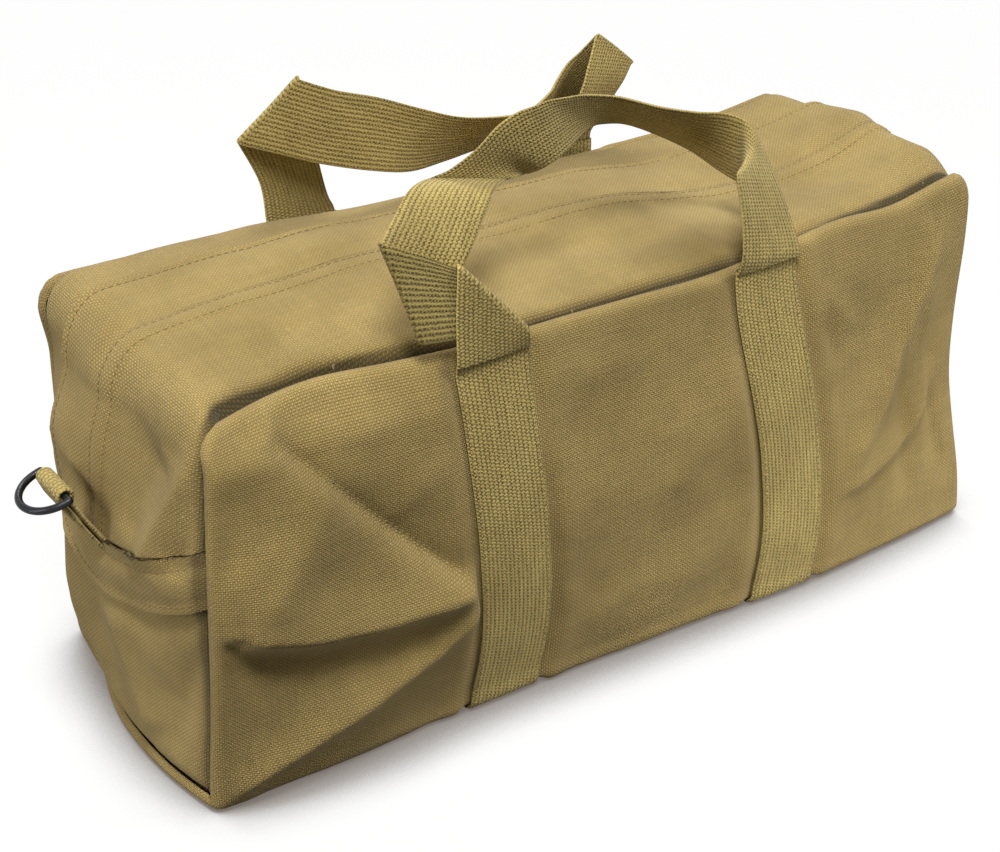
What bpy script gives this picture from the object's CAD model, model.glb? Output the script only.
import math

import bpy
import numpy as np
from mathutils import Matrix, Vector


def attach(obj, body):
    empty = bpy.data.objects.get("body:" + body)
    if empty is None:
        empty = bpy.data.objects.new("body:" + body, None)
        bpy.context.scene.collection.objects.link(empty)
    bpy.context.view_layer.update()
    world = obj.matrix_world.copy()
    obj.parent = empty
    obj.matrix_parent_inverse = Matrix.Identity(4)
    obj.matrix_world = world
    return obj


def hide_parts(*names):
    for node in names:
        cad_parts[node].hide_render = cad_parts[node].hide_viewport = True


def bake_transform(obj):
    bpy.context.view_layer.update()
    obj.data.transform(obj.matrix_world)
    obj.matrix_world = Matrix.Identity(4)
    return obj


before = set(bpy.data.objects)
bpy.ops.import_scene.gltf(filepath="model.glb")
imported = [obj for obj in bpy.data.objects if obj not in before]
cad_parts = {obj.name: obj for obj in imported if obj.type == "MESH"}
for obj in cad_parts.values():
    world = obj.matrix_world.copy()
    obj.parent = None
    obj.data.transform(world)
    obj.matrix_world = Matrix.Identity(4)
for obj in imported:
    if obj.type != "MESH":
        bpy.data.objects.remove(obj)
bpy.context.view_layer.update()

# All shapes are worked out in millimetres in the frame of the part, and turned into metres in add_mesh
MM = 0.001
# Half the length, half the depth of the top and of the floor, the height, the round of the bottom edges
HALF_L, TOP_W, FLOOR_W, HIGH, FOLD_R = 260.0, 91.0, 97.5, 222.0, 7.0
# How far the front and the back bulge, and how far the ends lean in, bulge and lie inside the length
FACE_BOW, END_LEAN, END_BOW, END_SINK = 11.0, 12.0, 16.0, 0.3
# Lengths along the wrap: a face, the curl below it, the flat of the bottom, and the whole way round
FACE, CURL, FLAT = 215.0, 11.0, 181.0
GIRTH = 2 * (FACE + CURL) + FLAT
# The rolled rim of the wrap: its radius, how far it turns in radians, and the round of its corners
RIM_R, RIM_TURN, CORNER = 4.4, 2.6, 14.0
# How far the seams of the top lie in from its edges
SEAM_IN = 1.75 * RIM_R
# The strip over the top and down the ends: where its arc starts, as path length and height, and its length
ARC_T, ARC_Z, ARC_LEN = 234.0, 202.0, 34.0
ARC_R, DROP_T = HIGH - ARC_Z, ARC_T + ARC_LEN
# Crown of the top, height of the end bands, width of the webbing and of the ring tabs
CROWN, END_W, WEB, TAB_W = 5.0, 30.0, 44.0, 25.0
# Thickness of each cloth and webbing
WRAP_T, PANEL_T, BAND_T, TOP_T, FLAP_T, TAPE_T = 1.6, 1.5, 2.4, 1.5, 1.9, 0.9
STRAP_T, HANDLE_T, TAB_T = 2.2, 2.3, 2.6
# Where the mouth starts and stops opening, on the left and on the right
LEFT_OUT, LEFT_IN, RIGHT_IN, RIGHT_OUT = -163.0, -100.0, 128.0, 228.0
MIRROR = np.array([-1.0, 1.0, 1.0])


# Curves, noise and folds
def curve(xs, ys):
    """A smooth function through the given places, level outside them."""
    xs, ys = np.array(xs, float), np.array(ys, float)
    m = np.gradient(ys, xs)

    def value(x):
        x = np.clip(x, xs[0], xs[-1])
        i = np.clip(np.searchsorted(xs, x, side="right") - 1, 0, len(xs) - 2)
        h = xs[i + 1] - xs[i]
        t = (x - xs[i]) / h
        return ((2 * t**3 - 3 * t**2 + 1) * ys[i] + (t**3 - 2 * t**2 + t) * h * m[i]
                + (3 * t**2 - 2 * t**3) * ys[i + 1] + (t**3 - t**2) * h * m[i + 1])
    return value


def ease(t):
    t = np.clip(t, 0, 1)
    return t * t * (3 - 2 * t)


def between(value, start, end):
    """Goes smoothly from 0 where the value is start to 1 where it is end."""
    return ease((value - start) / (end - start))


def bell(x, middle, width):
    return np.exp(-((x - middle) / width)**2)


def fade(distance, length):
    """Falls off from 1 at no distance; it stays 1 below that."""
    return np.exp(-np.maximum(distance, 0) / length)


def noise(x, y, size, seed):
    u, v = x / size + 37.3 * seed, y / size - 19.1 * seed
    iu, iv = np.floor(u), np.floor(v)

    def at(a, b):
        h = np.sin(a * 127.1 + b * 311.7 + seed * 74.7) * 43758.5453
        return 2 * (h - np.floor(h)) - 1
    fu, fv = ease(u - iu), ease(v - iv)
    low = at(iu, iv) * (1 - fu) + at(iu + 1, iv) * fu
    high = at(iu, iv + 1) * (1 - fu) + at(iu + 1, iv + 1) * fu
    return low * (1 - fv) + high * fv


def rumple(x, y, seed, big=1.5, small=0.5):
    """Uneven cloth: broad swells of the height big, and fine ones of the height small."""
    return (big * noise(x, y, 62, seed)
            + 0.6 * big * noise(0.8 * x + 0.6 * y, 0.8 * y - 0.6 * x, 33, seed + 1)
            + small * noise(x, y, 17, seed + 2) + 0.35 * small * noise(x, y, 8, seed + 3))


def fold(x, z, line, height, left, right, ends=0.2, power=1.6):
    """Height of a fold along a line; it falls off over left on its left side and over right on the other."""
    line = np.array(line, float)
    seg = np.diff(line, axis=0)
    length = np.hypot(seg[:, 0], seg[:, 1])
    start = np.r_[0, np.cumsum(length)]
    best, side, share = np.full(x.shape, 1e9), np.ones(x.shape), np.zeros(x.shape)
    for k in range(len(seg)):
        dx, dz = x - line[k, 0], z - line[k, 1]
        t = np.clip((dx * seg[k, 0] + dz * seg[k, 1]) / length[k]**2, 0, 1)
        d = np.hypot(dx - t * seg[k, 0], dz - t * seg[k, 1])
        near = d < best
        best = np.where(near, d, best)
        side = np.where(near, seg[k, 0] * dz - seg[k, 1] * dx, side)
        share = np.where(near, (start[k] + t * length[k]) / start[-1], share)
    width = np.where(side > 0, left, right)
    return height * ease(share / ends) * ease((1 - share) / ends) * np.exp(-(best / width)**power)


def dent(x, z, middle_x, middle_z, reach_x, reach_z, depth):
    return depth * np.exp(-((x - middle_x) / reach_x)**2 - ((z - middle_z) / reach_z)**2)


def folded(d, x, z, folds, dents=()):
    """Adds rows of what fold takes, and rows of what dent takes, to the heights d."""
    for row in folds:
        d = d + fold(x, z, *row)
    for row in dents:
        d = d + dent(x, z, *row)
    return d


# Shape of the bag
top_lift = curve([-260, -245, -215, -179, -130, -70, 0, 70, 95, 145, 205, 240, 260],
                 [3, 4, 6, 9, 11, 7, 4, 0, -3, -6, -4, 1, 2])
back_lift = curve([-270, -250, -228, -205, -185, -165, -140, 100, 140, 200],
                  [1, 7.5, 9, 7, 5, 3, 1, 0, 1.5, 1])
rim_back = curve([-260, -245, -215, -183, -139, -100, -40, 63, 110, 162, 200, 248],
                 [2, 8, 15, 15, 7, 1, 0, -1, 1, 3, 2, 2])
rim_rise = curve([-250, -230, -183, -139, -66, 0, 63, 115, 151, 189, 225, 255],
                 [-4, -3, 2, 2, 1, -1, -3, 0, 2, 0, 5, 9])
# The stitch row of the storm flap, the upper edge of the end bands, and how the bag gives at its sides
flap_row = curve([-270, -200, -120, 40, 90, 140, 200, 270], [5, 5, 5, 4, 2, -5, -7, -5])
band_high = curve([-97.5, -92, -60, -30, 0, 22, 40, 60, 97.5], [160, 157, 143, 134, 130, 133, 139, 144, 148])
tuck = curve([0, 34, 66, 115, 145, 181, 217, 240], [11, 8.5, 8, 8.5, 6, 3, 0, 0])
waist = curve([0, 30, 70, 115, 150, 190, 222, 240], [2, 4.5, 10, 14, 11, 4, 0, 0])
belly = curve([-262, -180, -85, -20, 74, 160, 215, 262], [5, 3, 1, -1.5, -8.5, -12, -10, -6])


def climb(z):
    """Share of the height, counted from above the bottom folds."""
    return np.clip((z - 2 * FOLD_R) / (HIGH - 2 * FOLD_R), 0, 1)


def end_half(z):
    return FLOOR_W - (FLOOR_W - TOP_W) * climb(z)**2


def wrap_half(x, z):
    return end_half(z) + FACE_BOW * (1 - np.minimum(np.abs(x) / HALF_L, 1)**4) * np.sin(np.pi * climb(z))


def lean_in(x, z):
    return x - np.sign(x) * END_LEAN * (z / HIGH)**2 * np.minimum(np.abs(x) / HALF_L, 1)**4


def end_x(y, z):
    return (HALF_L - END_SINK - END_LEAN * (z / HIGH)**2
            + END_BOW * (1 - (y / FLOOR_W)**2) * np.sin(np.pi * np.clip(z / HIGH, 0, 1)))


def sag(x):
    """The hollow of the top beside the right strap."""
    return -4 * bell(x, 160, 70)


def top_z(x, y):
    middle = 1 - (y / TOP_W)**2
    weight = 0.45 + 0.55 * between(y, -80, -10)
    return HIGH + CROWN * middle + top_lift(x) * weight + sag(x) * middle + back_lift(x) * between(y, 5, 75)


def strip(t, share):
    """Place on the top and the ends at path length t from the middle and share of the half depth."""
    a, side = np.abs(t), np.where(t < 0, -1.0, 1.0)
    y_top = share * TOP_W
    z_end = np.minimum(ARC_Z, ARC_Z - (a - DROP_T))
    turn = np.clip((a - ARC_T) / ARC_LEN, 0, 1) * np.pi / 2
    start = end_x(share * end_half(ARC_Z), ARC_Z) - ARC_R
    crown = top_z(side * ARC_T, y_top) - ARC_Z
    top = a <= ARC_T
    x = np.where(top, np.minimum(a, ARC_T) * start / ARC_T, start + ARC_R * np.sin(turn))
    z = np.where(top, top_z(side * np.minimum(a, ARC_T), y_top), ARC_Z + crown * np.cos(turn))
    y = np.where(top, y_top, share * (TOP_W + (end_half(ARC_Z) - TOP_W) * np.sin(turn)))
    low = a > DROP_T
    y_low = share * end_half(z_end)
    x = np.where(low, end_x(y_low, z_end), x)
    y, z = np.where(low, y_low, y), np.where(low, z_end, z)
    return np.stack([side * x, y, z], -1)


def from_rim(s):
    """Length along the wrap to its nearer rim."""
    return np.minimum(s, GIRTH - s)


def on_face(s):
    """1 on the front and the back, 0 on the bottom."""
    return 1 - between(from_rim(s), FACE - 6, FACE + 18)


def at_rim(s):
    """1 at the rim of the wrap, 0 well below it."""
    return between(from_rim(s), 26, -2)


def wrap(p, s):
    """Place on the wrap at p along the bag and s down the front, under the bottom and up the back."""
    half = from_rim(s)
    side = np.where(s <= GIRTH / 2, -1.0, 1.0)
    z_face = HIGH - half
    turn = np.clip((half - FACE) / CURL, 0, 1) * np.pi / 2
    face = half <= FACE
    z = np.where(face, z_face, FOLD_R * (1 - np.sin(turn)))
    y = np.where(face, wrap_half(p, z_face),
                 FLOOR_W - FOLD_R + FOLD_R * np.cos(turn) - np.maximum(half - FACE - CURL, 0))
    return np.stack([lean_in(p, z), side * y, z], -1)


def settle(place):
    """The bag as it stands: tucked in at the left rear, bulging at the floor, drawn in at the right."""
    x, y, z = place[..., 0], place[..., 1], place[..., 2]
    foot_out, corner_in, full_out, full_up, corner_up = 9, 5, 6, 5, 2
    out = place.copy()
    foot = foot_out * between(z, 60, 0) * np.clip(1 - ((y + 25) / 72)**2, 0, 1)
    left = tuck(z) * np.clip(y / 97, 0, 1)**1.6 - foot
    right = waist(z) * between(y, -8, -88)
    out[..., 0] = x + left * between(x, -130, -250) - right * between(x, 150, 255)
    out[..., 1] = y + belly(x) * between(z, 105, 5) * between(y, -10, -90)
    # the left rear top corner, and the full right end of the top
    corner = between(x, -205, -255) * between(y, 20, 90) * between(z, 185, 220)
    full = between(x, 185, 245) * between(z, 180, 215) * between(y, -92, -47)
    out[..., 0] += full_out * full - corner_in * corner
    out[..., 2] += full_up * (1 + between(y, -20, -70)) * full * between(y, 55, -15) + corner_up * corner
    return out


# Meshes
def unit(n):
    return n / np.maximum(np.linalg.norm(n, axis=-1, keepdims=True), 1e-9)


def normals_of(place, u, v, h=0.6):
    """Outward normals of the surface place(u, v) of the wrap or an end."""
    du = place(u + h, v) - place(u - h, v)
    dv = place(u, v + h) - place(u, v - h)
    return unit(np.cross(dv, du))


def strip_normals(t, share, h=0.8, h_share=0.01):
    dt = strip(t + h, share) - strip(t - h, share)
    ds = strip(t, share + h_share) - strip(t, share - h_share)
    return unit(np.cross(dt, ds))


def grid_normals(points, flip):
    return unit(np.cross(np.gradient(points, axis=1), np.gradient(points, axis=0)) * flip)


def rows_of(grid):
    return grid.reshape(-1, grid.shape[-1])


def path_length(line):
    """Length along a line up to each of its places."""
    return np.r_[0, np.cumsum(np.linalg.norm(np.diff(line, axis=0), axis=1))]


def sheet_faces(rows, cols, flip):
    """Faces of the outer side, the inner side and the edge of a sheet; inner places follow outer ones."""
    i = np.arange(rows * cols).reshape(rows, cols)
    outer = np.stack([i[:-1, :-1], i[:-1, 1:], i[1:, 1:], i[1:, :-1]], -1).reshape(-1, 4)
    edge = np.concatenate([i[0, :], i[1:, -1], i[-1, -2::-1], i[-2:0:-1, 0]])
    after, inner = np.roll(edge, -1), rows * cols
    faces = np.r_[outer, outer[:, ::-1] + inner, np.stack([after, edge, edge + inner, after + inner], 1)]
    return faces if flip > 0 else faces[:, ::-1]


def cloth(points, uv, thick, flip):
    """A sheet of cloth below its outer side: places, normals, faces and uvs, as add_mesh takes them."""
    n = grid_normals(points, flip)
    return [np.r_[rows_of(points), rows_of(points - n * thick)], np.r_[rows_of(n), -rows_of(n)],
            sheet_faces(*points.shape[:2], flip), np.r_[rows_of(uv), rows_of(uv)]]


def webbing(place, across, along, thick, flip):
    """Webbing from its middle surface, rounded at its selvedges."""
    n = grid_normals(place, flip)
    share = np.linspace(-1, 1, place.shape[1])[None, :, None]
    half = thick / 2 * np.sqrt(np.maximum(1 - np.abs(share)**6, 0.04))
    outer, inner = place + n * half, place - n * half
    turned = unit(np.gradient(outer, axis=1)) * (np.sign(share) * np.abs(share)**8 * 0.9)
    uv = rows_of(np.stack([across, along], -1))
    return [np.r_[rows_of(outer), rows_of(inner)], np.r_[rows_of(n + turned), rows_of(-n + turned)],
            sheet_faces(*place.shape[:2], flip), np.r_[uv, uv]]


def stitches(line, normal, length, gap, radius, lift, start=1.0):
    """Stitches along a line of places: small capsules that lie on the cloth."""
    sides, shares, sizes = 6, (-1, -0.72, 0, 0.72, 1), (0.02, 0.75, 1, 0.75, 0.02)
    run = path_length(line)

    def at(values, distance):
        return np.array([np.interp(distance, run, values[:, k]) for k in range(3)])
    places, norms, faces = [], [], []
    for k in range(int((run[-1] - 2 * start) // (length + gap))):
        mid = start + (k + 0.5) * (length + gap)
        axis = at(line, mid + length / 2) - at(line, mid - length / 2)
        axis /= np.linalg.norm(axis)
        side = np.cross(axis, at(normal, mid))
        side /= np.linalg.norm(side)
        up = np.cross(side, axis)
        first = len(places)
        for share, size in zip(shares, sizes):
            centre = at(line, mid) + axis * share * length / 2 + up * (lift + radius * 0.55 * (1 - share**2))
            for m in range(sides):
                a = 2 * math.pi * m / sides
                out = side * math.cos(a) + up * math.sin(a)
                places.append(centre + out * radius * size)
                norms.append(out * (1 - abs(share) * 0.6) + axis * share * 0.6)
        for q in range(first, first + (len(shares) - 1) * sides, sides):
            for m in range(sides):
                after = (m + 1) % sides
                faces.append((q + m, q + sides + m, q + sides + after, q + after))
    return [np.array(places), np.array(norms), np.array(faces), np.zeros((len(places), 2))]


def add_mesh(name, parts, materials):
    """One object from parts, each [places, normals, faces, uvs] with the number of its material.

    A third column in the uvs is how grimy and shaded a seam is there, from 0 to 1."""
    places, normal, faces, uvs, slots, base = [], [], [], [], [], 0
    for (p, n, f, uv), slot in parts:
        places.append(p)
        normal.append(n)
        uvs.append(uv if uv.shape[1] == 3 else np.c_[uv, np.zeros(len(uv))])
        faces += [tuple(int(v) for v in face) for face in f + base]
        slots += [slot] * len(f)
        base += len(p)
    places, normal, uvs = np.concatenate(places), np.concatenate(normal), np.concatenate(uvs)
    mesh = bpy.data.meshes.new(name)
    mesh.from_pydata((places * MM).tolist(), [], faces)
    layer = mesh.uv_layers.new(name="cloth")
    index = np.empty(len(mesh.loops), np.int32)
    mesh.loops.foreach_get("vertex_index", index)
    layer.data.foreach_set("uv", (uvs[index, :2] * MM).astype(np.float32).ravel())
    shade = mesh.attributes.new("seam_shade", "FLOAT", "POINT")
    shade.data.foreach_set("value", uvs[:, 2].astype(np.float32))
    mesh.polygons.foreach_set("material_index", np.array(slots, np.int32))
    mesh.polygons.foreach_set("use_smooth", np.ones(len(faces), bool))
    for m in materials:
        mesh.materials.append(m)
    mesh.update()
    mesh.normals_split_custom_set_from_vertices(unit(normal).tolist())
    obj = bpy.data.objects.new(name, mesh)
    bpy.context.scene.collection.objects.link(obj)
    return obj


def add_piece(name, parts, materials, node, body_name="root"):
    """An object that rides on one body and stands for one CAD node."""
    obj = add_mesh(name, parts, materials)
    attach(obj, body_name)
    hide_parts(node)


# Materials
class Nodes:
    """The nodes of a material or a world, with a short call for each kind that is used often."""

    def __init__(self, owner, output):
        owner.use_nodes = True
        self.tree = owner.node_tree
        self.tree.nodes.clear()
        self.out = self.add(output)

    def add(self, kind, **settings):
        n = self.tree.nodes.new(kind)
        for key, value in settings.items():
            setattr(n, key, value)
        return n

    def link(self, a, b):
        self.tree.links.new(a, b)

    def put(self, socket, value):
        if isinstance(value, bpy.types.NodeSocket):
            self.link(value, socket)
        else:
            socket.default_value = value

    def filled(self, kind, values, **settings):
        """A node with its first inputs filled, and its first output."""
        n = self.add(kind, **settings)
        for socket, value in zip(n.inputs, values):
            self.put(socket, value)
        return n.outputs[0]

    def math(self, kind, a, b=0.0, c=0.0):
        return self.filled("ShaderNodeMath", (a, b, c), operation=kind)

    def plus(self, a, b):
        return self.math("ADD", a, b)

    def minus(self, a, b):
        return self.math("SUBTRACT", a, b)

    def times(self, a, b):
        return self.math("MULTIPLY", a, b)

    def vector(self, x, y, z=0.0):
        return self.filled("ShaderNodeCombineXYZ", (x, y, z))

    def uv(self):
        separate = self.add("ShaderNodeSeparateXYZ")
        self.link(self.add("ShaderNodeUVMap", uv_map="cloth").outputs[0], separate.inputs[0])
        return separate.outputs[0], separate.outputs[1]

    def noise(self, vector, scale, detail=2.0, rough=0.5):
        n = self.add("ShaderNodeTexNoise")
        for name, value in (("Vector", vector), ("Scale", scale), ("Detail", detail), ("Roughness", rough)):
            self.put(n.inputs[name], value)
        return n.outputs[0]

    def ramp(self, value, low, high, a=0.0, b=1.0, kind="SMOOTHSTEP"):
        return self.filled("ShaderNodeMapRange", (value, low, high, a, b), interpolation_type=kind)

    def mix(self, share, a, b, kind="MIX"):
        n = self.add("ShaderNodeMix", data_type="RGBA", blend_type=kind)
        for name, value in (("Factor", share), ("A", a), ("B", b)):
            self.put(n.inputs[name], value)
        return n.outputs["Result"]

    def seen(self):
        """1 for what the camera sees straight or in a reflection."""
        rays = self.add("ShaderNodeLightPath").outputs
        return self.math("MAXIMUM", rays["Is Camera Ray"], rays["Is Glossy Ray"])


class Surface(Nodes):
    """A material with a principled shader."""

    def __init__(self, name):
        self.material = bpy.data.materials.new(name)
        super().__init__(self.material, "ShaderNodeOutputMaterial")
        self.shader = self.add("ShaderNodeBsdfPrincipled")
        self.link(self.shader.outputs[0], self.out.inputs["Surface"])

    def look(self, inputs):
        for name, value in inputs.items():
            self.put(self.shader.inputs[name], value)

    def tinted(self, base, tone):
        return self.mix(1.0, base, self.vector(tone, tone, tone), "MULTIPLY")

    def bump(self, height, distance, strength=1.0):
        n = self.add("ShaderNodeBump")
        for name, value in (("Strength", strength), ("Distance", distance), ("Height", height)):
            self.put(n.inputs[name], value)
        self.link(n.outputs[0], self.shader.inputs["Normal"])


def canvas_material(name, light, dark, weave_m=0.00118):
    """Cotton duck: a plain weave with slubs, specks and a faded, slightly uneven dye."""
    n = Surface(name)
    u, v = n.uv()
    flat = n.vector(u, v)
    wobble = n.times(n.minus(n.noise(flat, 260.0), 0.5), 0.0006)
    k = math.pi / weave_m
    warp_wave = n.math("SINE", n.times(n.plus(u, wobble), k))
    weft_wave = n.math("SINE", n.times(n.minus(v, wobble), k))
    cell = n.times(warp_wave, weft_wave)
    body = n.math("SQRT", n.math("ABSOLUTE", cell))
    weave = n.math("MULTIPLY_ADD", cell, 0.34, n.times(body, 0.66))
    slub_long, slub_wide = 34.0, 560.0
    warp = n.noise(n.vector(n.times(u, slub_long), n.times(v, slub_wide)), 1.0)
    weft = n.noise(n.vector(n.times(u, slub_wide), n.times(v, slub_long)), 1.0)
    threads = n.plus(warp, weft)
    patches = n.noise(flat, 14.0, 3.0, 0.6)
    grain = n.noise(flat, 900.0)
    tone = n.plus(n.ramp(weave, -0.25, 0.8, 0.4, 1.22), n.ramp(threads, 0.7, 1.35, -0.055, 0.055))
    tone = n.plus(tone, n.ramp(grain, 0.3, 0.7, -0.06, 0.06))
    seam = n.add("ShaderNodeAttribute", attribute_name="seam_shade").outputs["Fac"]
    tone = n.times(tone, n.math("MULTIPLY_ADD", seam, -0.78, 1.0))
    colour = n.tinted(n.mix(n.ramp(patches, 0.32, 0.7), dark, light), tone)
    speck = n.ramp(n.noise(flat, 420.0, 0.0), 0.8, 0.86)
    n.look({"Base Color": n.mix(n.times(speck, 0.35), colour, (0.62, 0.5, 0.3, 1)),
            "Roughness": n.ramp(weave, -0.2, 0.8, 0.97, 0.84),
            "Sheen Weight": 0.12, "Sheen Roughness": 0.5, "Specular IOR Level": 0.2})
    n.bump(n.plus(weave, n.times(threads, 0.4)), 0.0006, 0.9)
    return n.material


def webbing_material(name, light, dark, rib_m=0.0026, pick_m=0.0021):
    """Cotton webbing: ribs along it, crossed by a coarse weft with a dark hole between each four yarns."""
    n = Surface(name)
    u, v = n.uv()
    flat = n.vector(u, v)
    wobble = n.times(n.minus(n.noise(flat, 420.0), 0.5), 0.0017)
    rib = n.math("SINE", n.times(n.plus(u, wobble), math.pi / rib_m))
    odd = n.times(n.math("GREATER_THAN", rib, 0.0), math.pi / 2)
    picks = n.math("ABSOLUTE", n.math("SINE", n.plus(n.times(n.plus(v, wobble), math.pi / pick_m), odd)))
    valley = n.minus(1.0, n.math("POWER", n.math("ABSOLUTE", rib), 0.5))
    pick = n.math("MULTIPLY_ADD", n.math("POWER", picks, 1.5), 0.9, 0.1)
    hole = n.times(n.math("POWER", valley, 0.6), pick)
    height = n.minus(n.math("MULTIPLY_ADD", picks, -0.18, 1.0), hole)
    fuzz = n.noise(flat, 1100.0)
    threads = n.noise(n.vector(n.times(u, 420.0), n.times(v, 40.0)), 1.0)
    tone = n.plus(n.ramp(height, 0.1, 0.9, 0.38, 1.2), n.ramp(threads, 0.3, 0.7, -0.1, 0.1))
    tone = n.plus(tone, n.ramp(fuzz, 0.3, 0.7, -0.1, 0.1))
    n.look({"Base Color": n.tinted(n.mix(n.ramp(n.noise(flat, 22.0), 0.3, 0.7), dark, light), tone),
            "Roughness": n.ramp(height, 0.1, 0.9, 0.96, 0.8),
            "Sheen Weight": 0.14, "Sheen Roughness": 0.45, "Specular IOR Level": 0.22})
    n.bump(n.plus(height, n.times(fuzz, 0.3)), 0.0009, 0.85)
    return n.material


def thread_material(name, colour, dark):
    n = Surface(name)
    strand = n.noise(n.add("ShaderNodeTexCoord").outputs["Object"], 1500.0, 1.0)
    n.look({"Base Color": n.mix(n.ramp(strand, 0.35, 0.65), dark, colour),
            "Roughness": n.ramp(strand, 0.3, 0.7, 0.65, 0.8)})
    n.bump(strand, 0.0002, 0.6)
    return n.material


def metal_material(name, colour, worn, metallic, rough, wear):
    n = Surface(name)
    place = n.add("ShaderNodeTexCoord").outputs["Object"]
    broad, fine = n.noise(place, 160.0, 3.0), n.noise(place, 1400.0)
    scuff = n.ramp(n.noise(place, 420.0, 4.0, 0.7), 0.62 - wear, 0.8 - wear)
    n.look({"Base Color": n.mix(scuff, colour, worn), "Metallic": metallic,
            "Roughness": n.plus(n.ramp(broad, 0.3, 0.7, rough - 0.08, rough + 0.08),
                                n.ramp(fine, 0.3, 0.7, -0.04, 0.04))})
    n.bump(fine, 0.00012, 0.5)
    return n.material


CANVAS = canvas_material("canvas_duck", (0.41, 0.298, 0.103, 1), (0.325, 0.234, 0.078, 1))
WEBBING = webbing_material("webbing_cotton", (0.408, 0.318, 0.106, 1), (0.347, 0.263, 0.083, 1))
TAPE = canvas_material("zip_tape_cloth", (0.20, 0.155, 0.06, 1), (0.16, 0.12, 0.045, 1), 0.0006)
THREAD = thread_material("thread_brown", (0.25, 0.17, 0.06, 1), (0.14, 0.09, 0.03, 1))
BRASS = metal_material("zip_brass", (0.55, 0.40, 0.16, 1), (0.75, 0.6, 0.32, 1), 1.0, 0.36, 0.05)
STEEL = metal_material("ring_black", (0.012, 0.013, 0.016, 1), (0.05, 0.055, 0.065, 1), 0.6, 0.32, 0.0)


# The wrap: front, bottom and back. Each row is what fold or dent takes after its first two values
FRONT_FOLDS = [
    ([(-220, 216), (-187, 178), (-165, 152), (-139, 124), (-100, 84)], -10.5, 17, 5.5, 0.16, 1.05),
    ([(-200, 238), (-210, 218), (-219, 200)], 4.0, 6, 8, 0.3),
    ([(-176, 196), (-206, 150), (-240, 108)], 6.5, 24, 20, 0.25),
    ([(-268, 140), (-250, 112), (-232, 105), (-203, 97), (-166, 92), (-130, 92),
      (-96, 99)], 9.0, 22, 6, 0.08, 1.2),
    ([(-264, 108), (-236, 92), (-205, 80), (-160, 72), (-116, 78)], -4.0, 9, 20, 0.18),
    ([(-264, 6), (-232, 21), (-204, 32), (-166, 45), (-132, 61), (-112, 80),
      (-98, 98)], 9.5, 16, 10, 0.1, 1.1),
    ([(-120, 175), (-150, 150), (-180, 142)], 2.5, 14, 14, 0.3),
    ([(-262, 112), (-250, 107), (-238, 106)], -6.0, 3.5, 6, 0.3),
    ([(-250, 200), (-246, 170), (-250, 140)], -3.5, 9, 9, 0.3),
    ([(231, 216), (204, 153), (183, 112), (169, 90), (142, 62)], 6.0, 12, 15, 0.2, 1.3),
    ([(238, 120), (224, 89), (208, 75), (183, 66), (155, 58), (138, 55)], 5.0, 5, 12, 0.2, 1.2),
    ([(191, 167), (200, 120), (206, 80), (210, 24)], -2.6, 8, 8, 0.25),
    ([(224, 157), (232, 100), (243, 26)], -3.0, 7, 9, 0.25),
    ([(215, 190), (222, 140), (228, 96)], 2.2, 7, 7, 0.25),
    ([(128, 196), (141, 178), (158, 158)], 2.0, 6, 8, 0.3),
    ([(124, 178), (136, 160), (146, 138)], -1.8, 5, 6, 0.3),
    ([(-58, 205), (-30, 190), (6, 192)], 2.0, 12, 12, 0.3),
    ([(-50, 34), (0, 50), (62, 42)], 2.4, 22, 16, 0.3),
]
FRONT_DENTS = [(-31, 160, 34, 30, -3.0), (169, 154, 28, 26, -2.2), (7, 84, 40, 24, -1.6),
               (30, 118, 46, 60, 2.6), (-30, 112, 26, 46, 1.6)]
BACK_FOLDS = [
    ([(228, 208), (190, 160), (150, 118), (118, 96)], -6.0, 14, 12, 0.2, 1.4),
    ([(250, 128), (214, 104), (160, 92), (118, 88)], 5.5, 20, 8, 0.15, 1.4),
    ([(-226, 205), (-190, 150), (-160, 104), (-125, 70)], 5.0, 16, 12, 0.2),
    ([(-240, 96), (-196, 66), (-140, 52)], 4.0, 12, 10, 0.2),
    ([(-50, 196), (-10, 184), (46, 194)], 2.0, 14, 12, 0.3),
]
BACK_DENTS = [(0, 110, 52, 60, 2.8), (-175, 176, 30, 24, -2.5), (175, 40, 40, 20, 2.5)]
# Where the middle of each strap lies along the bag, by the path over the wrap
STRAPS = {
    "left": curve([0, 30, 120, 180, 230, 313, 400, 500, 627], [-90, -89, -84, -81, -85, -88, -90, -90, -90]),
    "right": curve([0, 30, 80, 125, 170, 215, 313, 400, 500, 627],
                   [90, 91, 99, 107, 110, 107, 98, 92, 90, 90]),
}
FLOOR_GAP = 0.15


def strap_share(p, s, shape):
    """What shape gives for the distance to the middle of a strap, at the strap where that is more."""
    return np.maximum(*[shape(np.abs(p - middle(s))) for middle in STRAPS.values()])


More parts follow.
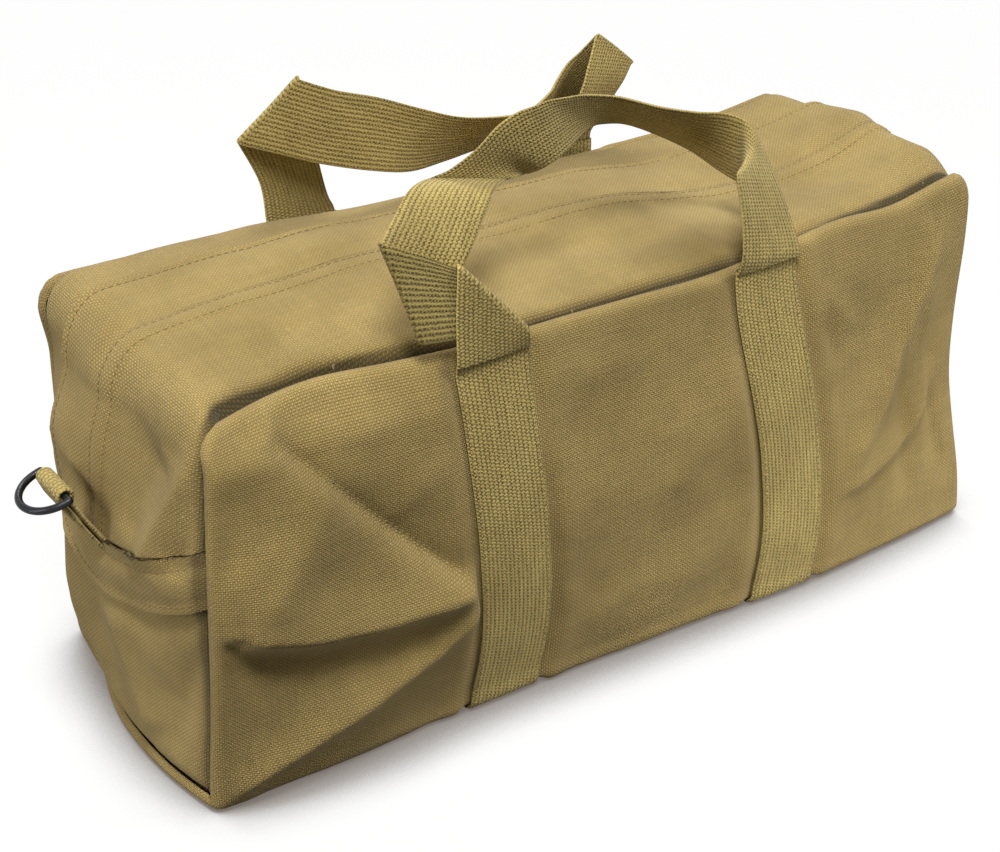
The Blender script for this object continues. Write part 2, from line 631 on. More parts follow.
def wrap_push(p, s):
    """How far the cloth stands out from the plain wrap; it sinks in below the straps."""
    sink_face, sink_bottom, strap_reach, strap_clear = 1.7, 2.9, 24, 31
    base = wrap(p, s)
    x, z = base[..., 0], base[..., 2]
    front = folded(rumple(x, z, 3, 1.5, 0.45), x, z, FRONT_FOLDS, FRONT_DENTS)
    back = folded(rumple(x, z, 11, 1.8, 0.5), x, z, BACK_FOLDS, BACK_DENTS)
    folds = np.where(s < GIRTH / 2, front, back) * (0.35 + 0.65 * between(from_rim(s), 0, 20))
    low = 0.5 * rumple(p, s, 23, 0.9, 0.3)
    face = on_face(s)
    under = strap_share(p, s, lambda far: 1 - between(far, strap_reach, strap_clear))
    beside = strap_share(p, s, lambda far: bell(far, 34, 7))
    calm = (1 - 0.92 * under) * (0.15 + 0.85 * between(np.abs(p), HALF_L, HALF_L - 26))
    sink = sink_face * face + sink_bottom * (1 - face)
    return (folds * face + low * (1 - face)) * calm + 1.4 * beside * face - sink * under


def rim(p, s, radius=RIM_R):
    """Rolls the edge of the wrap inwards: new place on it, depth below it, and distance in from the edge."""
    half = GIRTH / 2
    over_p, over_s = np.abs(p) - (HALF_L - CORNER), np.abs(s - half) - (half - CORNER)
    far_p, far_s = np.maximum(over_p, 0), np.maximum(over_s, 0)
    far = np.hypot(far_p, far_s)
    inside = CORNER - far - np.minimum(np.maximum(over_p, over_s), 0)
    flat = far < 1e-6
    some = np.maximum(far, 1e-6)
    out_p = np.where(flat, (over_p > over_s).astype(float), far_p / some) * np.sign(p)
    out_s = np.where(flat, (over_p <= over_s).astype(float), far_s / some) * np.sign(s - half)
    turn = np.clip((radius - inside) / radius, 0, RIM_TURN)
    move = np.where(inside < radius, inside - radius * (1 - np.sin(turn)), 0)
    return p + out_p * move, s + out_s * move, radius * (1 - np.cos(turn)), inside


def wrap_cloth(p, s):
    rolled_p, rolled_s, deep, inside = rim(p, s)
    base = wrap(rolled_p, rolled_s)
    push = wrap_push(rolled_p, np.clip(rolled_s, 0, GIRTH)) * between(inside, -4, 10) - deep
    place = base + normals_of(wrap, rolled_p, rolled_s) * push[..., None]
    x, lean, front = base[..., 0], at_rim(rolled_s), rolled_s < GIRTH / 2
    place[..., 1] += np.where(front, rim_back(x), -1.5) * lean
    place[..., 2] += np.where(front, rim_rise(x), 0.8 * top_lift(x) + back_lift(x) - 3.5) * lean
    place[..., 2] = np.maximum(place[..., 2], WRAP_T + FLOOR_GAP)
    return settle(place)


def wrap_grid(step=3.0):
    """A grid over the wrap and its rolled rim, with its corners drawn in to a round."""
    rolled = RIM_R * (RIM_TURN - 1)
    a, b, zone = HALF_L + rolled, GIRTH / 2 + rolled, CORNER + rolled
    cols, rows = int(2 * a / step) // 2 * 2 + 1, int(2 * b / step) // 2 * 2 + 1
    p, s = np.meshgrid(np.linspace(-a, a, cols), np.linspace(-b, b, rows))
    i, j = (np.abs(p) - (a - zone)) / zone, (np.abs(s) - (b - zone)) / zone
    corner = (i > 0) & (j > 0)
    i, j = np.where(corner, i, 0), np.where(corner, j, 0)
    p = np.where(corner, np.sign(p) * (a - zone + zone * i * np.sqrt(1 - j**2 / 2)), p)
    s = np.where(corner, np.sign(s) * (b - zone + zone * j * np.sqrt(1 - i**2 / 2)), s)
    return p, s + GIRTH / 2


def body_wrap():
    p, s = wrap_grid()
    sheet = cloth(wrap_cloth(p, s), np.stack([p, s], -1), WRAP_T, -1)
    add_piece("body_wrap_cloth", [(sheet, 0)], [CANVAS], "body_wrap")


body_wrap()


# Straps
ACROSS = np.array([-1, -0.96, -0.86, -0.6, -0.3, 0, 0.3, 0.6, 0.86, 0.96, 1])
# Where the ends of a strap stand, at the front and at the back, to meet the feet of the handles
MEET_FRONT, MEET_BACK, MEET_UP = -94.5, 93.4, 2.1


def strap(name, middle):
    top = 4.5
    s, across = np.meshgrid(np.linspace(top, GIRTH - top, 200), ACROSS * WEB / 2, indexing="ij")
    p = middle(s) + across
    base, face, front = wrap(p, s), on_face(s), s < GIRTH / 2
    wave, curl = 0.8 * noise(s, s * 0, 45, 5), -0.35 * (np.abs(across) / (WEB / 2))**2
    lift = (0.2 + wave + curl) * face - 1.45 * (1 - face)
    place = base + normals_of(wrap, p, s) * lift[..., None]
    place[..., 1] += np.where(front, rim_back(base[..., 0]) - 1.2, 0) * at_rim(s)
    place = settle(place)
    # the ends of a strap stand up behind the feet of the handle that is sewn to it
    meet = between(from_rim(s), top + 8.5, top - 0.5)
    place[..., 1] += (np.where(front, MEET_FRONT, MEET_BACK) - place[..., 1]) * meet
    place[..., 2] = np.maximum(place[..., 2] + MEET_UP * meet, STRAP_T / 2 + FLOOR_GAP)
    parts = [(webbing(place, across, s, STRAP_T, -1), 0)]
    n = grid_normals(place, -1)
    for col in (1, -2):
        edge = place[:, col] * 0.93 + place[:, 5] * 0.07 + n[:, col] * 0.95
        sewn = stitches(edge, n[:, col], 3.0, 1.4, 0.24, 0.0, 3)
        sewn[0][:, 2] = np.maximum(sewn[0][:, 2], 0.1)
        parts.append((sewn, 1))
    add_piece(name + "_webbing", parts, [WEBBING, THREAD], name)


strap("strap_left", STRAPS["left"])
strap("strap_right", STRAPS["right"])


# Ends
END_FOLDS = [
    ([(-84, 212), (-68, 180), (-52, 148), (-40, 128)], 5.0, 9, 11, 0.15, 1.3),
    ([(-92, 190), (-80, 160), (-66, 138)], -4.0, 8, 9, 0.2),
    ([(-52, 200), (-36, 168), (-26, 138)], -4.5, 14, 12, 0.2),
    ([(4, 222), (8, 184), (18, 150)], 5.0, 16, 18, 0.15),
    ([(-10, 96), (-20, 60), (-44, 20)], 4.0, 12, 16, 0.2),
    ([(10, 98), (16, 60), (6, 16)], -3.5, 12, 10, 0.2),
    ([(40, 120), (46, 70), (38, 24)], 4.5, 14, 14, 0.2),
    ([(-86, 104), (-70, 60), (-62, 16)], -3.0, 9, 12, 0.2),
    ([(-90, 118), (-52, 100), (-20, 92)], -2.5, 8, 8, 0.2),
]
# Seeds of the uneven cloth of the ends and the top; the storm flap shares the seed of the front half
LEFT_SEED, RIGHT_SEED, FRONT_SEED, BACK_SEED = 31, 47, 41, 57


def end_place(y, z):
    return np.stack([-end_x(y, z), y, z], -1)


def on_end(side, y, z, push):
    """Places on an end, moved outwards by push."""
    place = end_place(y, z) + normals_of(end_place, y, z) * push[..., None]
    return settle(place if side < 0 else place * MIRROR)


def end_folds(y, z, seed):
    return folded(rumple(y, z, seed, 1.6, 0.45), y, z, END_FOLDS)


def inside_end(y, z):
    """0 at the upright edges of an end, 1 well inside them."""
    return ease((end_half(z) - np.abs(y)) / 22)


def valley(edge, depth, width, slope):
    """Depth of the valley at a seam, by the distance in from it; past the seam it goes on down."""
    return np.where(edge > 0, depth * fade(edge, width), depth - slope * edge)


def end_valley(y, z, low=True):
    edge = np.minimum(end_half(z) - np.abs(y) - 7.5, z - 6 if low else HIGH)
    return valley(edge, 7.0, 3.6 + 2.4 * between(y, -40, -80), 0.85)


def valley_shade(y, z):
    return 0.85 * fade(np.minimum(end_half(z) - np.abs(y) - 11, z - 8), 2.2)


def end_panel(side, name, seed):
    """Lower panel of an end, rounded at its foot and tucked behind the band."""
    bottom, tucked, foot_r = 2.2, 9, 11
    share_y, share_z = np.meshgrid(np.linspace(1, -1, 71), np.linspace(1, 0, 52))
    z = bottom + (band_high(share_y * FLOOR_W) - END_W + tucked - bottom) * share_z
    foot = np.clip((foot_r - z) / foot_r, 0, 1)
    y = share_y * (end_half(z) - 3.5 - foot_r * (1 - np.sqrt(1 - foot**2)))
    place = on_end(side, y, z, (end_folds(y, z, seed) - 1.0) * inside_end(y, z) - end_valley(y, z))
    sheet = cloth(place, np.stack([y, z, valley_shade(y, z)], -1), PANEL_T, side)
    add_piece("end_panel_" + name + "_cloth", [(sheet, 0)], [CANVAS], "end_panel_" + name)


def end_band(side, name, seed):
    """Band of doubled cloth with two rows of stitching, standing a little off the cloth above it."""
    # the band is cut from another stretch of the weave than the panel below it
    apart = 400
    share_y, drop = np.meshgrid(np.linspace(1, -1, 71), np.linspace(0, END_W + 2, 15))
    z = band_high(share_y * FLOOR_W) - drop
    y = share_y * (end_half(z) - 3.0)
    lip = 2.6 * np.exp(-drop / 7.0) + 1.2 * bell(drop, END_W / 2, 8)
    rows = 0.8 * (bell(drop, 7.5, 1.6) + bell(drop, END_W - 4, 1.6))
    place = on_end(side, y, z, end_folds(y, z, seed) * inside_end(y, z) + 1.6 + lip - rows
                   - 0.8 * end_valley(y, z, False))
    uv = np.stack([y, z - apart, 0.7 * valley_shade(y, z)], -1)
    n, keep = grid_normals(place, side), slice(3, -3)
    parts = [(cloth(place, uv, BAND_T, side), 0)]
    parts += [(stitches(place[row, keep], n[row, keep], 3.3, 1.3, 0.36, -0.05), 1) for row in (3, 12)]
    add_piece("end_band_" + name + "_cloth", parts, [CANVAS, THREAD], "end_band_" + name)


for side, name, seed in ((-1, "left", LEFT_SEED), (1, "right", RIGHT_SEED)):
    end_panel(side, name, seed)
    end_band(side, name, seed)


# Top: front cloth, back cloth and storm flap, each a grid on the strip over the top and down both ends
# The tails of the strip, past its arcs, have a nominal length, which path_t stretches
TAIL = 100
END_T = DROP_T + TAIL
TOP_FOLDS = [
    ([(-238, -60), (-200, -74), (-160, -70)], 2.6, 12, 10, 0.25),
    ([(-226, -86), (-200, -50), (-150, -30)], -3.0, 14, 14, 0.25),
    ([(-70, -70), (-20, -34), (46, -40)], -2.6, 18, 16, 0.25),
    ([(-10, -60), (40, -66), (90, -50)], 2.2, 14, 14, 0.25),
    ([(110, -70), (160, -52), (226, -60)], 2.0, 16, 16, 0.25),
    ([(150, -34), (180, -34), (232, -20)], -1.6, 12, 12, 0.25),
    ([(22, 26), (60, 20), (96, 12), (124, 4)], -1.2, 12, 10, 0.25),
    ([(-150, 20), (-80, 34), (-20, 24)], 1.8, 16, 12, 0.25),
]


def t_columns(step=3.0):
    """Path lengths of the columns of a strip grid, with columns where the mouth starts and stops to open."""
    stops = [-DROP_T, LEFT_IN, 0, RIGHT_IN, DROP_T]
    runs = [np.linspace(a, b, int((b - a) / step)) for a, b in zip(stops, stops[1:])]
    tail = DROP_T + np.linspace(0, 1, 24)[1:] * TAIL
    return np.concatenate([-tail[::-1], runs[0]] + [run[1:] for run in runs[1:]] + [tail])


T_ALL = t_columns()


def path_t(share):
    """T_ALL, with its tails stretched so that each line ends behind the band."""
    t = np.broadcast_to(T_ALL, share.shape).copy()
    reach = ARC_Z - (band_high(share * FLOOR_W) - 9.0)
    return np.where(np.abs(t) > DROP_T, np.sign(t) * (DROP_T + (np.abs(t) - DROP_T) / TAIL * reach), t)


def half_width(t):
    z = np.clip(ARC_Z - (np.abs(t) - DROP_T), 0, HIGH)
    on_top = between(np.abs(t), DROP_T, ARC_T)
    return np.where(np.abs(t) < DROP_T, TOP_W * on_top + end_half(ARC_Z) * (1 - on_top), end_half(z))


def strip_grid(rows, first_share, edges, power=1.0):
    """A grid on the strip between two edges, which edges(t, half width) gives as places in Y."""
    share = np.linspace(0, 1, rows)[:, None] * np.ones_like(T_ALL)[None, :]
    t = path_t(share * 0 + first_share)
    for _ in range(2):
        w = half_width(t)
        y0, y1 = edges(t, w)
        y = y0 + (y1 - y0) * share**power
        t = path_t(y / w)
    return t, y, w, y0, y1


def on_strip(t, y, w, push):
    return settle(strip(t, y / w) + strip_normals(t, y / w) * push[..., None])


def top_folds(t, y, seed, end_seed):
    a = np.abs(t)
    on_arc = between(a, ARC_T, DROP_T)
    d = rumple(t, y, seed, 1.5, 0.45) * (1 - 0.6 * on_arc)
    d = d + on_arc * end_folds(y, np.minimum(ARC_Z - (a - DROP_T), HIGH - 8), end_seed)
    return folded(d, t, y, TOP_FOLDS)


def front_seam(t, w):
    """Where the front seam runs, as a place in Y on the strip."""
    back = rim_back(np.clip(t, -245, 250)) * (1 - between(np.abs(t), ARC_T, ARC_T + 30))
    return -w + SEAM_IN + back


def row_on(place, y, targets):
    """The places and normals on a grid where its y comes to the target of each column."""
    n = grid_normals(place, 1)
    places, normals = [], []
    for c, target in enumerate(targets):
        k = int(np.clip(np.argmin(np.abs(y[:, c] - target)), 1, len(y) - 2))
        low = k - 1 if y[k, c] > target else k
        f = (target - y[low, c]) / max(y[low + 1, c] - y[low, c], 1e-6)
        places.append(place[low, c] * (1 - f) + place[low + 1, c] * f)
        normals.append(n[low, c])
    return np.array(places), np.array(normals)


def strip_pieces(name, place, t, y, shade, thick, sections, lines=()):
    """Cuts a strip grid at its columns into the pieces that bend differently."""
    uv = np.stack([t, y, shade], -1)
    # normals come from the whole strip, so that its pieces meet without a line
    whole = grid_normals(place, 1)
    for label, low, high, first, second, start, end, nodes in sections:
        cols = (T_ALL >= low - 1e-6) & (T_ALL <= high + 1e-6)
        sheet = cloth(place[:, cols], uv[:, cols], thick, 1)
        sheet[1] = np.r_[rows_of(whole[:, cols]), -rows_of(whole[:, cols])]
        parts = [(sheet, 0)]
        parts += [(stitches(line[cols], n[cols], 3.2, 1.2, 0.3, -0.02), 1) for line, n in lines]
        obj = add_mesh(name + "_" + label, parts, [CANVAS, THREAD])
        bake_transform(obj)
        if nodes:
            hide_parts(*nodes)


# How far the front seam hides behind the rim
hidden_seam = curve([-270, -60, 60, 150, 200, 270], [2.9, 2.2, 2.2, 4, 7, 7.5])


def front_top():
    """Front half of the top, down both ends, with the hem of the storm flap sewn on along its back edge."""
    def edges(t, w):
        return front_seam(t, w) - 5.5, flap_row(t) + 2.0
    t, y, _, _, _ = strip_grid(40, -0.4, edges, 0.92)
    w = half_width(t)
    e = y - front_seam(t, w)
    hem = 1.3 * ease((y - (flap_row(t) - 12.6)) / 1.6)
    sewn = 0.7 * (bell(y, flap_row(t), 1.5) + bell(y, flap_row(t) - 10, 1.5))
    gap = bell(t, -190, 30) + 0.6 * bell(t, 205, 22) + 0.4 * bell(t, 118, 14)
    push = (top_folds(t, y, FRONT_SEED, LEFT_SEED) * between(e, -2, 14) + hem - sewn
            - valley(e, 7.5 + 4 * gap, 2.8 + 2.2 * gap, 0.9))
    shade = fade(e - hidden_seam(t), 0.8 + 0.8 * gap)
    place = on_strip(t, y, w, push)
    lines = [row_on(place, y, flap_row(t[0]) - back) for back in (0, 10)]
    strip_pieces("top_front_cloth", place, t, y, shade, TOP_T, [
        ("left", -END_T, 0, "root", "front_leaf", LEFT_OUT, LEFT_IN,
         ("front_gusset_left", "top_front_panel")),
        ("right", 0, END_T, "root", "front_leaf", RIGHT_OUT, RIGHT_IN, ("front_gusset_right",)),
    ], lines)


def back_top():
    """Back half of the top, down both ends, from under the storm flap to the back seam."""
    past = 5.5

    def edges(t, w):
        y1 = w - SEAM_IN - 1.5 * (1 - between(np.abs(t), ARC_T, ARC_T + 30)) + past
        return 24.0 + 0 * y1, y1
    t, y, w, _, y1 = strip_grid(26, 0.5, edges, 1.08)
    e = (y1 - past) - y
    push = top_folds(t, y, BACK_SEED, RIGHT_SEED) * between(e, -2, 14) - valley(e, 6.0, 3.0, 0.9)
    strip_pieces("top_back_cloth", on_strip(t, y, w, push), t, y, fade(e - 1.5, 1.3), TOP_T, [
        ("left", -END_T, 0, "root", "back_leaf", LEFT_OUT, LEFT_IN, ("back_gusset_left", "top_back_panel")),
        ("right", 0, END_T, "root", "back_leaf", RIGHT_OUT, RIGHT_IN, ("back_gusset_right",)),
    ])


def storm_flap():
    """Storm flap: doubled cloth from its stitching to its free edge, over the zip."""
    def edges(t, w):
        return flap_row(t) + 1.6, 45.5 + 0.9 * noise(t, t * 0, 38, 9) - 3 * between(t, 60, 150)
    t, y, w, y0, y1 = strip_grid(20, 0.2, edges)
    back, hem, hinge = y1 - y, 3.4, 46
    rise = 1.4 + 2.2 * ease((y - y0) / 14) + 0.5 * bell(back, 0, 2.5)
    puff = 7.0 * bell(t, -300, 26) * between(y, 12, 38)
    push = top_folds(t, y, FRONT_SEED, LEFT_SEED) * 0.9 + rise + puff - 0.9 * bell(back, hem, 1.1)
    place = on_strip(t, y, w, push)
    hem_line = curve(T_ALL[::6], y1[-1, ::6] - hem)
    strip_pieces("storm_flap_cloth", place, t, y, 0 * y, FLAP_T, [
        ("left_end", -END_T, LEFT_IN, "root", "front_leaf", LEFT_OUT, LEFT_IN, ()),
        ("left", LEFT_IN, 0, "front_leaf", "flap", LEFT_IN, LEFT_IN + hinge, ("storm_flap",)),
        ("right", 0, RIGHT_IN, "front_leaf", "flap", RIGHT_IN, RIGHT_IN - hinge, ()),
        ("right_end", RIGHT_IN, END_T, "root", "front_leaf", RIGHT_OUT, RIGHT_IN, ()),
    ], [row_on(place, y, hem_line(T_ALL))])


front_top()
back_top()
storm_flap()


# Zip. The sections of its tapes are places in Y and Z, and TEETH says where the teeth of each side start
TAPE_HALF, TAPE_LOW = 236, 215.0
SECTIONS = {-1: [(-16, 223.5), (-6, 223.2), (4, 222.4), (7, 219.0), (9.3, 215.3), (12.9, TAPE_LOW)],
            1: [(19.1, TAPE_LOW), (22.6, 215.3), (23.4, 218), (24.6, 220.4), (28, 221.4), (34, 221.5)]}
TEETH = {-1: (13.2, 0.25), 1: (18.8, 0.75)}


def tape_grid(side, low, high):
    """A grid on the zip tape, from under the cloth down to the teeth."""
    ys, zs = np.array(SECTIONS[side], float).T
    x, y = np.meshgrid(T_ALL[(T_ALL >= low - 1e-6) & (T_ALL <= high + 1e-6)], ys)
    z = zs[:, None] + 0 * x
    drop = np.minimum(0, top_lift(x) + sag(x))
    return np.stack([x, y, z + drop * between(z, TAPE_LOW, TAPE_LOW + 6)], -1)


def tooth_row(side, low, high):
    """Teeth of one tape: blocks with cut corners and bevelled edges, a little wider at the tip."""
    pitch, width, reach, corners = 4.0, 1.7, 4.3, 8
    levels = ((213.0, 0.35, -1), (213.35, 0, 0), (215.65, 0, 0), (216.0, 0.35, 1))
    root, start_share = TEETH[side]
    middle = root - side * reach / 2

    def cut(c):
        return math.copysign(min(1, abs(c) * 1.35), c)
    places, norms, faces = [], [], []
    for k in range(int((high - low) / pitch)):
        x, first = low + (k + start_share) * pitch, len(places)
        for z, shrink, up in levels:
            for a in range(corners):
                angle = math.pi / 4 * a + math.pi / 8
                out_x, out_y = math.cos(angle), math.sin(angle)
                px, py = (width / 2 - shrink) * cut(out_x), middle + (reach / 2 - shrink) * cut(out_y)
                wider = 1.15 if abs(py - root) > 2.8 else 1
                places.append((x + px * wider, py, z))
                norms.append((out_x, out_y, up))
        for q in range(first, first + 3 * corners, corners):
            for a in range(corners):
                b = (a + 1) % corners
                faces.append((q + a, q + b, q + corners + b, q + corners + a))
        for q, order in ((first, -1), (first + 3 * corners, 1)):
            loop = [q + a for a in range(corners)][::order]
            for cap in ((0, 1, 2, 3), (0, 3, 4, 7), (4, 5, 6, 7)):
                faces.append(tuple(loop[a] for a in cap))
    return [np.array(places, float), np.array(norms, float), np.array(faces), np.zeros((len(places), 2))]


def zip_half(side, word):
    """A tape and its teeth, each in a left and a right piece."""
    for label, low, high, teeth, out, inn in (("left", -TAPE_HALF, 0, (-228, 0), LEFT_OUT, LEFT_IN),
                                              ("right", 0, TAPE_HALF, (0, 220), RIGHT_OUT, RIGHT_IN)):
        place = tape_grid(side, low, high)
        uv = np.stack(np.meshgrid(place[0, :, 0], np.arange(len(place)) * 4.0), -1)
        obj = add_mesh("zip_tape_%s_cloth_%s" % (word, label), [(cloth(place, uv, TAPE_T, 1), 0)], [TAPE])
        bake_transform(obj)
        row = add_mesh("zip_teeth_%s_row_%s" % (word, label), [(tooth_row(side, *teeth), 0)], [BRASS])
        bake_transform(row)
        if label == "left":
            ends = ("zip_end_left", "zip_end_right") if side < 0 else ()
            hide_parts("zip_tape_" + word, *ends)
            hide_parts("zip_teeth_" + word)


zip_half(-1, "front")
zip_half(1, "back")


# Handles: runs of stations, each the places of both edges of the webbing, with a fold between two runs
def spline(a, b, c, d, f):
    return b + f * (c - a) / 2 + f * f * (a - 2.5 * b + 2 * c - d / 2) + f**3 * (3 * b - 3 * c + d - a) / 2


def run_of(stations, steps):
    st = np.array(stations, float).reshape(-1, 2, 3)
    out = []
    for i in range(len(st) - 1):
        around = st[max(0, i - 1)], st[i], st[i + 1], st[min(len(st) - 1, i + 2)]
        out += [spline(*around, k / steps) for k in range(steps)]
    return out + [st[-1]]


def ribbon_line(runs, steps=8, fold_steps=6):
    """Edge places of webbing through runs of stations, with a tight fold from each run to the next."""
    line = []
    for run in runs:
        pts = run_of(run, steps)
        if line:
            before, after = line[-1], pts[0]
            travel = unit(before - line[-3])
            gap = np.linalg.norm(after - before, axis=1).mean()
            for q in range(1, fold_steps):
                a = math.pi * q / fold_steps
                mid, half = (before + after) / 2, (before - after) / 2
                line.append(mid + half * math.cos(a) + travel * math.sin(a) * gap * 0.55)
        line += pts
    return np.array(line)


def handle(name, runs, body_name, bow):
    line = ribbon_line(runs)
    low, high = (1 - ACROSS) / 2, (1 + ACROSS) / 2
    place = line[:, :1] * low[None, :, None] + line[:, 1:] * high[None, :, None]
    place = place + grid_normals(place, 1) * ((1 - ACROSS**2) * bow)[None, :, None]
    along = path_length(line[:, 0])[:, None] * low + path_length(line[:, 1])[:, None] * high
    across = np.broadcast_to(ACROSS * WEB / 2, along.shape)
    parts = [(webbing(place, across, along, HANDLE_T, 1), 0)]
    add_piece(name + "_webbing", parts, [WEBBING], name, body_name)


FRONT_RUNS = [
    [(-112, -95.4, 217.9, -68, -95.4, 217.9), (-112, -95.4, 224, -68.6, -96.4, 220),
     (-112, -95.0, 246, -69.5, -97.6, 223.4),
     (-111, -95.0, 272, -70, -98.0, 226.0)],
    [(-109.5, -91.2, 271, -68.5, -94.2, 224.5), (-128, -91.5, 283, -98, -94.0, 231),
     (-148.5, -90.0, 294, -128, -92.0, 235)],
    [(-148, -86.2, 293.5, -127, -88.2, 234), (-134, -75, 298, -101, -86, 268),
     (-118, -63, 303, -77, -73, 290),
     (-102, -53, 301, -59, -57, 290), (-89, -54, 303, -47, -54, 289), (-74, -57, 312, -38, -51, 288),
     (-63, -59, 322, -33, -56, 291), (-52, -60, 327, -25, -57, 294), (-42, -60, 328, -14, -53, 296),
     (-31, -58, 328, -2, -46, 297), (-18, -56, 326, 10, -39, 297), (-4, -53, 323, 23, -33, 294),
     (20, -49, 315, 45, -26, 286), (51, -46, 301, 72, -22, 271), (77, -46, 292, 92, -25, 258),
     (90, -50, 290, 101, -38, 249),
     (97, -57, 288, 100, -58, 249), (100, -64, 284, 84, -78, 264), (103, -72, 271, 70, -88, 272),
     (108, -82, 250, 69, -93, 259),
     (111, -91, 231, 70, -96, 240), (112, -95.0, 222, 69, -97.4, 226),
     (112, -95.6, 217.9, 68, -95.6, 217.9)],
]
REAR_RUNS = [
    [(-112, 95.2, 217.9, -68, 95.2, 217.9), (-112.5, 94.5, 226, -69, 94.8, 222),
     (-117, 91, 250, -76, 92, 239),
     (-131, 86, 278, -95, 80, 309)],
    [(-132, 82.6, 279, -97, 76.6, 310), (-112, 80, 270, -87, 75, 305), (-86, 78, 258, -74, 74, 299),
     (-55, 75, 247, -50, 73, 290),
     (-27, 79, 238, -26, 71, 279), (1, 86, 235, 0, 69, 268), (31, 92, 234, 26, 68, 262),
     (58, 94, 233, 47, 69, 260),
     (80, 94, 237, 66, 74, 265), (90, 92, 243, 73, 76, 271), (103, 90, 249, 81, 77, 279),
     (118, 89, 255, 91, 78, 284),
     (134, 87, 263, 101, 79, 290)],
    [(132.5, 83.5, 265, 99.5, 75.5, 292), (126, 82, 257, 90, 69, 279), (120, 83, 249, 83, 67, 264),
     (115, 84, 240, 76, 73, 248),
     (113, 91, 230, 70, 86, 234), (112.3, 94.8, 223, 68.3, 94.2, 224), (112, 95.2, 216, 68, 95.2, 212)],
]
handle("handle_front", FRONT_RUNS, "front_handle", 0.5)
handle("handle_rear", REAR_RUNS, "rear_handle", 0.4)


# Ring tabs and the pieces that keep the shape of their CAD node
def ring_tab(side):
    """A strip of webbing that comes out above the band, goes round the bar of the ring, and back in."""
    name = "ring_tab_left" if side < 0 else "ring_tab_right"
    bar_x, bar_z, r = -289.9, 164.0, 3.7
    turns = [math.radians(-25 + 205 * k / 8) for k in range(9)]
    path = [(-266.8, 122.2), (-271.4, 130.0), (-276.4, 138.6), (-282.2, 149.0), (-286.6, 158.4)]
    path += [(bar_x + r * math.cos(a), bar_z + r * math.sin(a)) for a in turns]
    path += [(-290.4, 156.0), (-285.0, 147.2), (-279.2, 136.9), (-274.2, 128.3), (-269.6, 120.5)]
    path = np.array(path)
    run = path_length(path)
    along, y = np.meshgrid(np.linspace(0, run[-1], 60), ACROSS * TAB_W / 2, indexing="ij")
    place = np.stack([np.interp(along, run, path[:, 0]), y, np.interp(along, run, path[:, 1])], -1)
    place = place if side < 0 else place * MIRROR
    add_piece(name + "_webbing", [(webbing(place, y, along, TAB_T, side), 0)], [WEBBING], name)


ring_tab(-1)
ring_tab(1)

for name, material in (("d_ring_left", STEEL), ("d_ring_right", STEEL), ("zip_slider", BRASS),
                       ("zip_pull", BRASS)):
    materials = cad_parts[name].data.materials
    materials.clear()
    materials.append(material)


# Floor, light and camera
def floor_material():
    """White to the camera, with a soft shadow below the bag; it lights the bag only a little."""
    material = bpy.data.materials.new("floor_pale")
    n = Nodes(material, "ShaderNodeOutputMaterial")
    diffuse = n.add("ShaderNodeBsdfDiffuse")
    lit = n.add("ShaderNodeLightPath").outputs["Is Diffuse Ray"]
    n.put(diffuse.inputs["Color"], n.mix(lit, (0.86, 0.855, 0.84, 1), (0.1, 0.095, 0.085, 1)))
    contact = n.add("ShaderNodeAmbientOcclusion", samples=8)
    contact.inputs["Distance"].default_value = 0.05
    glow = n.add("ShaderNodeEmission")
    clear = n.ramp(contact.outputs["AO"], 0.36, 0.84)
    n.put(glow.inputs["Color"], n.mix(clear, (0.2, 0.17, 0.15, 1), (1, 1, 1, 1)))
    glow.inputs["Strength"].default_value = 1.0
    distance = n.add("ShaderNodeVectorMath", operation="LENGTH")
    n.link(n.add("ShaderNodeNewGeometry").outputs["Position"], distance.inputs[0])
    share = n.ramp(distance.outputs["Value"], 0.7, 1.8, 0.9, 1.0, "LINEAR")
    both = n.filled("ShaderNodeMixShader", (n.times(n.seen(), share), diffuse.outputs[0], glow.outputs[0]))
    n.link(both, n.out.inputs["Surface"])
    return material


def add_floor(half=6):
    mesh = bpy.data.meshes.new("floor")
    corners = [(-half, -half, 0), (half, -half, 0), (half, half, 0), (-half, half, 0)]
    mesh.from_pydata(corners, [], [(0, 1, 2, 3)])
    mesh.materials.append(floor_material())
    floor = bpy.data.objects.new("floor", mesh)
    bpy.context.scene.collection.objects.link(floor)


def add_light(name, kind, place, target, power, colour, **settings):
    data = bpy.data.lights.new(name, kind)
    data.energy = power
    data.color = colour
    for key, value in settings.items():
        setattr(data, key, value)
    obj = bpy.data.objects.new(name, data)
    obj.location = place
    obj.rotation_euler = (Vector(target) - Vector(place)).to_track_quat("-Z", "Y").to_euler()
    bpy.context.scene.collection.objects.link(obj)


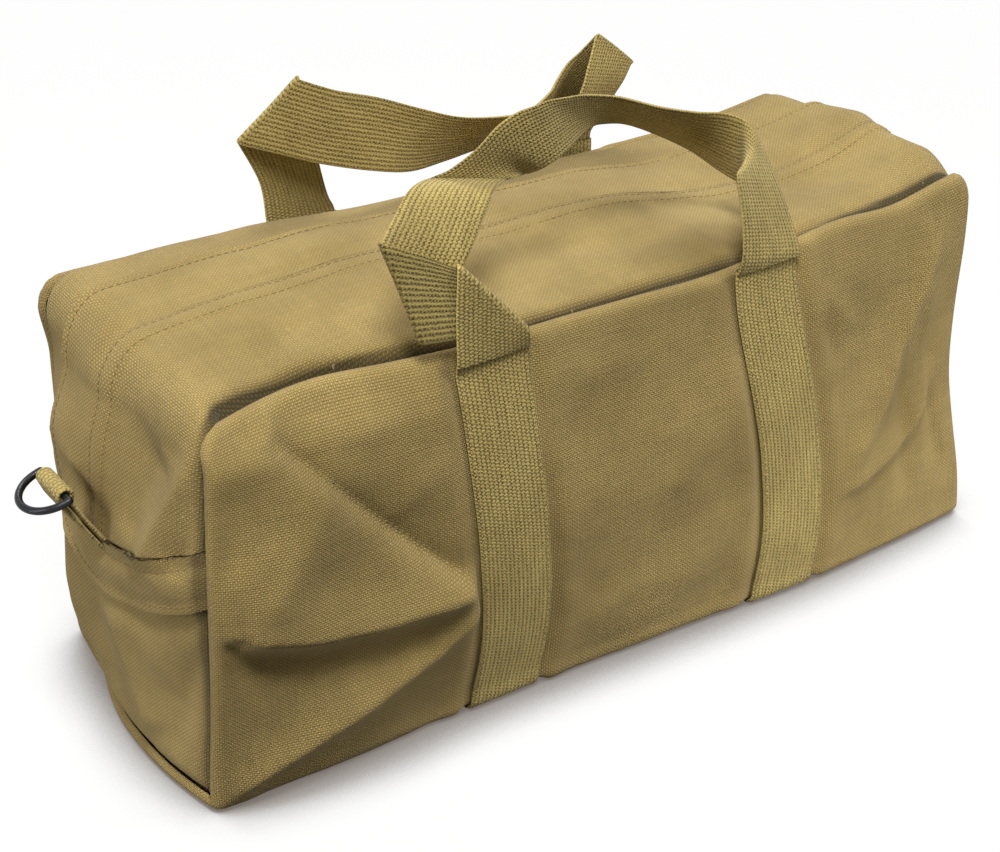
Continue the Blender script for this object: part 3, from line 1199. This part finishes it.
def add_world():
    """White to the camera and in reflections, and nearly dark as a light."""
    world = bpy.data.worlds.new("studio")
    bpy.context.scene.world = world
    n = Nodes(world, "ShaderNodeOutputWorld")
    back = n.add("ShaderNodeBackground")
    back.inputs["Color"].default_value = (1, 1, 1, 1)
    n.put(back.inputs["Strength"], n.ramp(n.seen(), 0.0, 1.0, 0.07, 1.0, "LINEAR"))
    n.link(back.outputs[0], n.out.inputs["Surface"])


def add_camera(place, azimuth, elevation, lens):
    data = bpy.data.cameras.new("camera")
    data.sensor_width = 36.0
    data.sensor_fit = "HORIZONTAL"
    data.lens = lens
    data.clip_start, data.clip_end = 0.05, 50
    a, e = math.radians(azimuth), math.radians(elevation)
    backward = Vector((math.sin(a) * math.cos(e), -math.cos(a) * math.cos(e), math.sin(e)))
    rightward = Vector((math.cos(a), math.sin(a), 0))
    turn = Matrix((rightward, backward.cross(rightward), backward)).transposed().to_4x4()
    camera = bpy.data.objects.new("camera", data)
    camera.matrix_world = Matrix.Translation(place) @ turn
    bpy.context.scene.collection.objects.link(camera)
    bpy.context.scene.camera = camera


add_floor()
WARM, PALE = (1.0, 0.985, 0.955), (1.0, 0.985, 0.96)
for name, place, size, power, colour in (
        ("light_key", (-0.45, -0.7, 1.8), 0.5, 29, WARM), ("light_right", (1.35, -0.9, 1.25), 0.5, 13, WARM),
        ("light_back", (0.2, 0.9, 1.7), 0.8, 17, WARM), ("light_left", (-1.9, -0.1, 1.3), 0.8, 14, PALE)):
    add_light(name, "AREA", place, (0, 0, 0.1), power, colour, shape="DISK", size=size)
for name, place, target, degrees, power in (
        ("light_low_right", (1.1, -1.9, 0.35), (0.2, -0.1, -0.13), 17, 240),
        ("light_low_left", (-2.0, 0.1, 0.35), (-0.26, 0.05, -0.02), 15, 90)):
    add_light(name, "SPOT", place, target, power, PALE, spot_size=math.radians(degrees), spot_blend=1.0,
              shadow_soft_size=0.25)
add_world()
add_camera((-0.6260, -0.8733, 0.7419), -34.75, 30.86, 77.9)
bpy.context.scene.view_settings.view_transform = "Standard"

bpy.context.view_layer.update()
